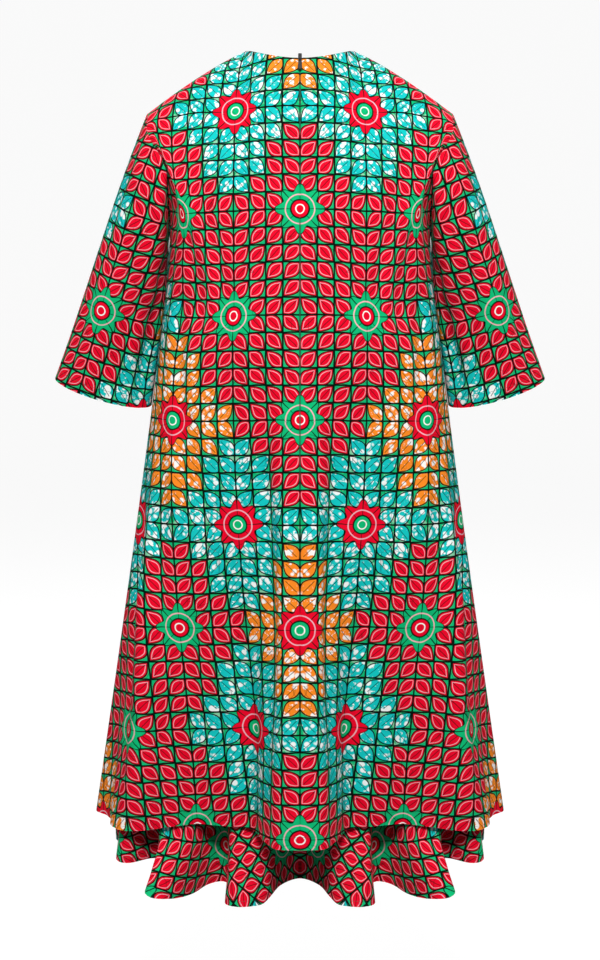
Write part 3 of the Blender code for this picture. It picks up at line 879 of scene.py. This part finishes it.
def printed_cotton():
    """Leaves in squares, in lozenges with a rosette at each centre, over a bright green ground."""
    s = Shader("printed_cotton")
    place, u, v = cloth_places(s)
    drift_u = s.less(s.noise(place, 55.0), 0.5)
    drift_v = s.less(s.noise(s.vector(v, u, 0.3), 55.0), 0.5)
    u_cells = s.add(s.times(u, 1 / CELL), s.times(drift_u, DRIFT))
    v_cells = s.add(s.times(v, 1 / CELL), s.times(drift_v, DRIFT))
    u_middle = s.add(s.math("FLOOR", u_cells), 0.5)
    v_middle = s.add(s.math("FLOOR", v_cells), 0.5)
    in_u = s.less(u_cells, u_middle)
    in_v = s.less(v_cells, v_middle)
    share_u = s.times(u_middle, 1 / ZONE_CELLS[0])
    share_v = s.times(v_middle, 1 / ZONE_CELLS[1])
    first = s.math("FLOOR", s.add(share_u, share_v))
    second = s.math("FLOOR", s.less(share_u, share_v))
    column = s.add(s.add(first, second), 1.0)
    row = s.less(first, second)
    centre_u = s.times(column, ZONE_CELLS[0] / 2)
    centre_v = s.times(row, ZONE_CELLS[1] / 2)
    cool_column = s.math("COMPARE", s.math("FLOORED_MODULO", column, 2.0), 1.0, 0.2)
    row_pair = s.math("FLOOR", s.times(row, 0.5))
    turn_of_three = s.math("FLOORED_MODULO", s.add(row_pair, column), 3.0)
    odd_one = s.math("COMPARE", turn_of_three, 1.0, 0.2)
    teal_zone = s.times(cool_column, s.other(odd_one))
    orange_zone = s.times(s.other(cool_column), odd_one)
    pale_zone = s.add(teal_zone, orange_zone)

    turn_u = s.math("SIGN", s.less(centre_u, u_middle))
    turn_v = s.math("SIGN", s.less(centre_v, v_middle))
    along = s.times(s.add(s.times(in_u, turn_u), s.times(in_v, turn_v)), DIAGONAL)
    across = s.times(s.less(s.times(in_v, turn_u), s.times(in_u, turn_v)), DIAGONAL)
    across = s.size(across)
    taper = s.math("POWER", s.size(s.times(along, 1 / LEAF_REACH)), 2.0)
    belly = s.add(1.0, s.times(along, LEAF_BELLY))
    half_width = s.times(s.times(s.other(taper), belly), LEAF_HALF_WIDTH)
    leaf = s.within(across, half_width, 0.015)
    inside = s.within(across, s.less(half_width, LEAF_OUTLINE), 0.015)
    outline = s.times(leaf, s.other(inside))
    inner_line = s.times(
        s.within(across, s.less(half_width, LEAF_PINK_LINE[0]), 0.012),
        s.other(s.within(across, s.less(half_width, LEAF_PINK_LINE[1]), 0.012)),
    )
    vein = s.times(s.within(across, VEIN[0], 0.010), s.line(along, VEIN[1], 0.02))

    spots = s.bubbles(place, 105.0, "F1")
    size_noise = s.noise(place, 45.0)
    white = s.within(spots, s.add(s.times(size_noise, 0.95), -0.11), 0.07)
    clouds = s.noise(place, 190.0, 3.0)
    white = s.math("MAXIMUM", white, s.step(clouds, 0.60, 0.66))
    white = s.times(white, pale_zone)

    dye = s.mix(teal_zone, RED, TEAL)
    dye = s.mix(orange_zone, dye, ORANGE)
    leaf_colour = s.mix(s.times(white, 0.93), dye, PALE)
    ground = s.mix(s.times(s.times(white, teal_zone), 0.25), GREEN, PALE)
    colour = s.mix(leaf, ground, leaf_colour)
    colour = s.mix(s.times(inner_line, s.other(pale_zone)), colour, PINK)
    colour = s.mix(s.times(vein, 0.85), colour, DARK)
    colour = s.mix(outline, colour, DARK)
    edge = s.less(0.5, s.math("MAXIMUM", s.size(in_u), s.size(in_v)))
    colour = s.mix(s.within(edge, SQUARE_LINE, 0.014), colour, DARK)

    away_u = s.less(u_cells, centre_u)
    away_v = s.less(v_cells, centre_v)
    radius = s.math("SQRT", s.add(s.times(away_u, away_u), s.times(away_v, away_v)))
    angle = s.math("ARCTAN2", away_v, away_u)
    petals = s.times(s.math("COSINE", s.times(angle, PETALS)), PETAL_WAVE)
    petals = s.add(PETAL_REACH, petals)
    flower = s.mix(pale_zone, GREEN, RED)
    heart = s.mix(pale_zone, RED, GREEN)
    rib = s.math("SINE", s.times(angle, PETALS / 2))
    rib_line = s.times(s.line(rib, 0.10, 0.05), s.other(s.within(radius, 0.56, 0.02)))
    rosette = s.mix(rib_line, flower, DARK)
    pink_ring = s.line(s.less(radius, PINK_RING), RING_HALF_WIDTH, 0.015)
    rosette = s.mix(pink_ring, rosette, PINK)
    rosette = s.mix(s.within(radius, DARK_DISC, 0.02), rosette, DARK)
    rosette = s.mix(s.within(radius, HEART, 0.02), rosette, heart)
    pale_ring = s.line(s.less(radius, PALE_RING), RING_HALF_WIDTH, 0.015)
    rosette = s.mix(pale_ring, rosette, PALE)
    colour = s.mix(s.within(radius, s.add(petals, PETAL_OUTLINE), 0.02), colour, DARK)
    colour = s.mix(s.within(radius, petals, 0.02), colour, rosette)

    veins = s.bubbles(place, 48.0, "DISTANCE_TO_EDGE")
    crackle = s.times(s.within(veins, 0.018, 0.010), s.step(s.noise(place, 26.0), 0.52, 0.62))
    colour = s.mix(s.times(crackle, 0.45), colour, DARK)
    tone = s.noise(place, 17.0, 3.0)
    shade = s.new("HueSaturation")
    s.put(shade, Value=s.add(0.90, s.times(tone, 0.20)), Color=colour)
    pucker = s.noise(place, 120.0, 4.0, 0.6)
    crumple = s.noise(place, 22.0, 3.0, 0.55)
    threads = s.times(weave(s, u, v, THREAD_PITCH), THREAD_HEIGHT)
    height = s.add(threads, s.times(pucker, PUCKER_HEIGHT))
    height = s.add(height, s.times(crumple, CRUMPLE_HEIGHT))
    s.put(s.surface, **{
        "Base Color": shade.outputs[0],
        "Normal": s.bump(height, BUMP_STRENGTH, 1.0),
        "Roughness": 0.72,
        "Specular IOR Level": 0.04,
        "Sheen Weight": 0.01,
        "Sheen Roughness": 0.5,
    })
    return s.material


def plain(name, scale, dark, light, roughness, detail=2.0):
    """A finish between two colours: (shader, place on the object, tone)."""
    s = Shader(name)
    place = s.new("TexCoord").outputs["Object"]
    tone = s.noise(place, scale, detail)
    base = s.mix(tone, (*dark, 1.0), (*light, 1.0))
    s.put(s.surface, **{"Base Color": base, "Roughness": roughness})
    return s, place, tone


def woven_tape():
    s, place, _ = plain("woven_tape", 60.0, (0.003, 0.045, 0.022), (0.006, 0.080, 0.040), 0.75)
    parts = s.new("SeparateXYZ")
    s.put(parts, i0=place)
    ribs = weave(s, parts.outputs[0], parts.outputs[2], TAPE_RIB)
    s.put(s.surface, Normal=s.bump(s.times(ribs, TAPE_RIB_HEIGHT), 0.8, 1.0))
    return s.material


def black_metal():
    s, _, wear = plain("black_metal", 800.0, (0.004, 0.004, 0.005), (0.013, 0.013, 0.015),
                       METAL_ROUGHNESS, 3.0)
    roughness = s.add(METAL_ROUGHNESS, s.times(wear, 0.16))
    s.put(s.surface, **{"Roughness": roughness, "Specular IOR Level": 0.22})
    return s.material


def line_at(grid, normals, distances, wanted):
    """The points and normals of the line that lies this far from an edge, one for each column."""
    both = np.concatenate([grid, normals], axis=2)
    line = []
    for column in range(grid.shape[1]):
        order = np.argsort(distances[:, column])
        values = both[order, column]
        line.append([np.interp(wanted, distances[order, column], value) for value in values.T])
    line = np.array(line)
    return line[:, :3], line[:, 3:]


def row_of_boxes(points, facing, pitch, length, width, height, lift):
    """Corners of small boxes along a line, as an array of eight points each."""
    run = running(steps_along(points))
    places = np.arange(pitch, run[-1] - pitch, pitch)

    def read(wanted, values):
        return np.stack([np.interp(wanted, run, values[:, axis]) for axis in range(3)], axis=-1)

    middle = read(places, points)
    along = unit(read(places + length / 2, points) - middle)
    out = unit(read(places, facing))
    across = np.cross(along, out)
    corners = []
    for up in (0, 1):
        share = (BOX_TAPER if up else 1.0) / 2
        for a, b in ((-1, -1), (1, -1), (1, 1), (-1, 1)):
            aside = along * (a * length * share) + across * (b * width * share)
            corners.append(middle + aside + out * (lift + up * height))
    return np.stack(corners, axis=1)


def box_mesh(name, boxes, finish):
    """One mesh of many small boxes."""
    sides = [(3, 2, 1, 0), (4, 5, 6, 7), (0, 1, 5, 4), (1, 2, 6, 5), (2, 3, 7, 6), (3, 0, 4, 7)]
    faces = (np.arange(len(boxes))[:, None, None] * 8 + np.array(sides)).reshape(-1, 4)
    obj = built(name, boxes.reshape(-1, 3).tolist(), faces.tolist(), finish)
    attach(obj, "dress")


def flat_cut(grid, circular=False):
    """A half panel's flat cut: u from its first column and v up from a reference row."""
    if circular:
        return laid_flat(grid, round_start(grid), ROUND_HOLD)
    level_row = min(len(YOKE_STEPS), len(grid) - 1)
    return laid_flat(grid, straight_start(grid, level_row), STRAIGHT_HOLD)


def creased_with(grid, flat, body_flat, back):
    """The flounce's flat cut, with the places where the outer cloth's creases run over it."""
    angle = ring_angles(back)
    rows = body_flat[len(YOKE_STEPS):]
    levels = np.arange(SKIRT_ROWS + 1) / SKIRT_ROWS
    places = np.empty_like(flat)
    for row in range(len(grid)):
        level = level_at(angle, grid[row, :, 2])
        for column, value in enumerate(level):
            run_down = rows[:, column].T
            places[row, column] = [np.interp(value, levels, values) for values in run_down]
        places[row, :, 1] -= np.maximum(level - 1, 0) * (BUST_Z - HEM_Z)
    return np.concatenate([flat, places], axis=2)


def doubled(grid, flat):
    """Both sides of a panel cut on the fold. The print's u is the same on both."""
    return whole(grid), np.concatenate([flat[:, :0:-1], flat], axis=1)


def body_top(column, back):
    """The exact top edge at columns counted from the centre, whole or not."""
    neck, top, arm = top_columns(back)
    count = np.abs(column)
    edge = np.where(
        (count < neck)[:, None],
        neckline(np.minimum(count / neck, 1), back),
        np.where(
            (count < neck + top)[:, None],
            shoulder(np.clip((count - neck) / top, 0, 1)),
            armhole(np.clip((count - neck - top) / arm, 0, 1), back),
        ),
    )
    edge[:, 0] *= np.where(column < 0, -1, 1)
    return edge


def sleeve_top(column, back):
    """The exact top edge of a sleeve at columns counted from the overarm."""
    arm = top_columns(back)[2]
    edge = armhole(np.clip(column / arm, 0, 1), back)
    edge[:, 0] += SLEEVE_TOP_GAP
    return edge


def backdrop():
    """A pale floor that curves up into a round wall. It shows shadows but throws no light back."""
    shares = [step / BOWL_RINGS for step in range(1, BOWL_RINGS + 1)]
    profile = [(FLOOR_REACH * share, FLOOR_Z) for share in shares]
    for share in shares:
        turn = math.pi / 2 * share
        reach = FLOOR_REACH + COVE * math.sin(turn)
        profile.append((reach, FLOOR_Z + COVE - COVE * math.cos(turn)))
    profile.append((FLOOR_REACH + COVE, WALL_TOP))
    points = [(0.0, 0.0, FLOOR_Z)]
    for reach, z in profile:
        for side in range(BOWL_SIDES):
            turn = 2 * math.pi * side / BOWL_SIDES
            points.append((reach * math.cos(turn), reach * math.sin(turn), z))
    sides = [(side, (side + 1) % BOWL_SIDES) for side in range(BOWL_SIDES)]
    faces = [(0, 1 + side, 1 + following) for side, following in sides]
    for ring in range(len(profile) - 1):
        inner = 1 + ring * BOWL_SIDES
        outer = inner + BOWL_SIDES
        for side, following in sides:
            faces.append((inner + side, outer + side, outer + following, inner + following))
    s = Shader("backdrop_paper")
    s.put(s.surface, **{
        "Base Color": (PAPER, PAPER, PAPER, 1.0),
        "Emission Color": (1.0, 1.0, 1.0, 1.0),
        "Emission Strength": GLOW,
        "Roughness": 0.9,
        "Specular IOR Level": 0.1,
    })
    obj = built("backdrop", points, faces, s.material)
    obj.data.shade_smooth()
    obj.visible_diffuse = False
    obj.visible_glossy = False
    obj.visible_shadow = False


def aimed(name, data, place, aim):
    """A light or a camera at a place, turned towards a point."""
    obj = linked(name, data)
    obj.location = place
    obj.rotation_euler = (Vector(aim) - Vector(place)).to_track_quat("-Z", "Y").to_euler()
    return obj


def softbox(name, place, aim, width, height, watts):
    data = bpy.data.lights.new(name, "AREA")
    data.shape = "RECTANGLE"
    data.size = width
    data.size_y = height
    data.energy = watts
    aimed(name, data, place, aim)


# The flat cuts that laid_flat gives. Columns: width, length and area in metres, then how the
# print lies on the cut: its turn in degrees and its shift in u and v
CUTS = {
    "back": (0.427, 1.141, 0.336, 0, 0.000, 0.060),
    "front": (0.933, 1.136, 0.698, 0, 0.000, 0.160),
    "flounce_back": (0.920, 0.451, 0.200, 45, 0.168, 0.360),
    "flounce_front": (0.779, 0.603, 0.226, 45, 0.048, 0.480),
    "sleeve_back": (0.188, 0.405, 0.059, 0, 0.130, 0.020),
    "sleeve_front": (0.183, 0.410, 0.059, 0, 0.510, 0.250),
}
# Small boxes whose tops are narrower. Columns: pitch, length, width, height
COIL_TOOTH = (0.0013, 0.0013 * 0.62, 0.0036, 0.0011)
STITCH = (0.0032, 0.0024, 0.0005, 0.00022)
STITCH_SINK = 0.00004
BOX_TAPER = 0.55
# The stitching's distance from each panel's hem
STITCH_ROWS = {
    "back_left": 0.018,
    "back_right": 0.018,
    "front": 0.018,
    "flounce_back": 0.008,
    "flounce_front": 0.008,
    "sleeve_left_back": 0.016,
    "sleeve_left_front": 0.016,
    "sleeve_right_back": 0.016,
    "sleeve_right_front": 0.016,
}
# The backdrop, a bowl of pale paper that glows a little
FLOOR_Z = -1.42
FLOOR_REACH = 9.0
COVE = 2.0
WALL_TOP = 60.0
BOWL_RINGS = 12
BOWL_SIDES = 96
PAPER = 0.12
GLOW = 0.915
# Columns: name, place, the point it faces, width, height, watts
LIGHTS = (
    ("key", (0, -4.4, 3.3), (0, 0, -0.45), 1.7, 1.3, 405),
    ("left_fill", (-3.3, 0.2, 0.6), (0, 0, -0.6), 1.2, 2.0, 16),
    ("right_fill", (3.3, 0.2, 0.6), (0, 0, -0.6), 1.2, 2.0, 16),
    ("front_light", (0, 3.4, 2.6), (0, 0, -0.50), 1.6, 1.2, 120),
)
SKY_STRENGTH = 0.15
CAMERA_PLACE = (0, -3.3, -0.29)
CAMERA_AIM = (0, 0, -0.605)
CAMERA_LENS = 87

wax = printed_cotton()
sewing, _, _ = plain("sewing_thread", 900.0, (0.003, 0.030, 0.018), (0.008, 0.085, 0.045), 0.6)
panels = {}


def add_panel(name, kind, grid, flat, creases, seams, free, shared, exact_top=None, centre=0,
              mirror=False, before_armhole=None):
    """One panel. before_armhole is how many columns come before its armhole, if it has one."""
    facing = 1 if "front" in name else -1
    grid, flat, column = refined(grid, flat, shared, exact_top, centre)
    armhole_share = np.zeros(len(column))
    if before_armhole is not None:
        arm = top_columns("front" not in name)[2]
        armhole_share = np.sin(math.pi * np.clip((np.abs(column) - before_armhole) / arm, 0, 1))
    if mirror:
        grid, flat, armhole_share = mirrored(grid), flat[:, ::-1], armhole_share[::-1]
        other = {"first": "last", "last": "first", "top": "top"}
        seams = {other[side]: share for side, share in seams.items()}
        free = [other[side] for side in free]
    panels[name] = sewn(name, grid, flat, facing, creases, seams, free, armhole_share, wax,
                        CUTS[kind][3:])


back, front = half_body(True), half_body(False)
back_flat, front_flat = flat_cut(back), flat_cut(front)
back_both = np.concatenate([back_flat, back_flat], axis=2)
front_whole, front_both = doubled(front, np.concatenate([front_flat, front_flat], axis=2))
for side, mirror in (("right", False), ("left", True)):
    add_panel(f"back_{side}", "back", back, back_both, BACK_CREASES, BACK_SEAMS, ["first"], (-1,),
              exact_top=lambda column: body_top(column, True), mirror=mirror,
              before_armhole=sum(top_columns(True)[:2]))
add_panel("front", "front", front_whole, front_both, FRONT_CREASES, FRONT_SEAMS, [], (-1,),
          exact_top=lambda column: body_top(column, False), centre=front.shape[1] - 1,
          before_armhole=sum(top_columns(False)[:2]))
for half, is_back, creases in (
    ("back", True, SLEEVE_BACK_CREASES),
    ("front", False, SLEEVE_FRONT_CREASES),
):
    sleeve = half_sleeve(is_back)
    sleeve_flat = flat_cut(sleeve)
    sleeve_both = np.concatenate([sleeve_flat, sleeve_flat], axis=2)
    for side, mirror in (("right", False), ("left", True)):
        add_panel(f"sleeve_{side}_{half}", f"sleeve_{half}", sleeve, sleeve_both, creases,
                  SLEEVE_SEAMS, [], (0, -1), exact_top=lambda column: sleeve_top(column, is_back),
                  mirror=mirror, before_armhole=0)
for half, is_back, body_flat, creases in (
    ("back", True, back_flat, BACK_CREASES),
    ("front", False, front_flat, FRONT_CREASES),
):
    ring = half_flounce(is_back)
    ring_flat = creased_with(ring, flat_cut(ring, circular=True), body_flat, is_back)
    ring_whole, ring_flat = doubled(ring, ring_flat)
    add_panel(f"flounce_{half}", f"flounce_{half}", ring_whole, ring_flat, creases,
              FLOUNCE_SEAMS, ["top"], (-1,))

for name, above_hem in STITCH_ROWS.items():
    _, grid, normals, distance = panels[name]
    points, facing = line_at(grid, normals, distance["hem"], above_hem)
    boxes = row_of_boxes(points, facing, *STITCH, LAYER / 2 - STITCH_SINK)
    box_mesh(f"{name}_hem_stitches", boxes, sewing.material)

# The closed coil on the inner face of the zip's tape
seam = half_body(True)[:len(YOKE_STEPS) + ZIP_SKIRT_ROWS + 1, 0]
down = np.gradient(seam, axis=0)
seam_out = unit(np.stack([0 * down[:, 0], down[:, 2], -down[:, 1]], axis=-1))
teeth = row_of_boxes(seam, -seam_out, *COIL_TOOTH,
                     CLOTH / 2 + ZIP_CLEARANCE + ZIP_TAPE - COIL_SINK)
coil, _, _ = plain("coil_plastic", 300.0, (0.003, 0.035, 0.018), (0.006, 0.060, 0.030), 0.35)
box_mesh("zip_coil", teeth, coil.material)

for name, finish in (
    ("zip_tape", woven_tape()),
    ("zip_slider", black_metal()),
    ("pull_tab", black_metal()),
):
    for holder in bpy.data.objects[name].material_slots:
        holder.material = finish

backdrop()
for light in LIGHTS:
    softbox(*light)

world = bpy.data.worlds.new("studio")
world.use_nodes = True
sky = world.node_tree.nodes["Background"]
sky.inputs["Color"].default_value = (1.0, 1.0, 1.0, 1.0)
sky.inputs["Strength"].default_value = SKY_STRENGTH
scene = bpy.context.scene
scene.world = world
scene.view_settings.view_transform = "Standard"

camera = bpy.data.cameras.new("camera")
camera.lens = CAMERA_LENS
camera.sensor_width = 36
camera.sensor_fit = "AUTO"
scene.camera = aimed("camera", camera, CAMERA_PLACE, CAMERA_AIM)
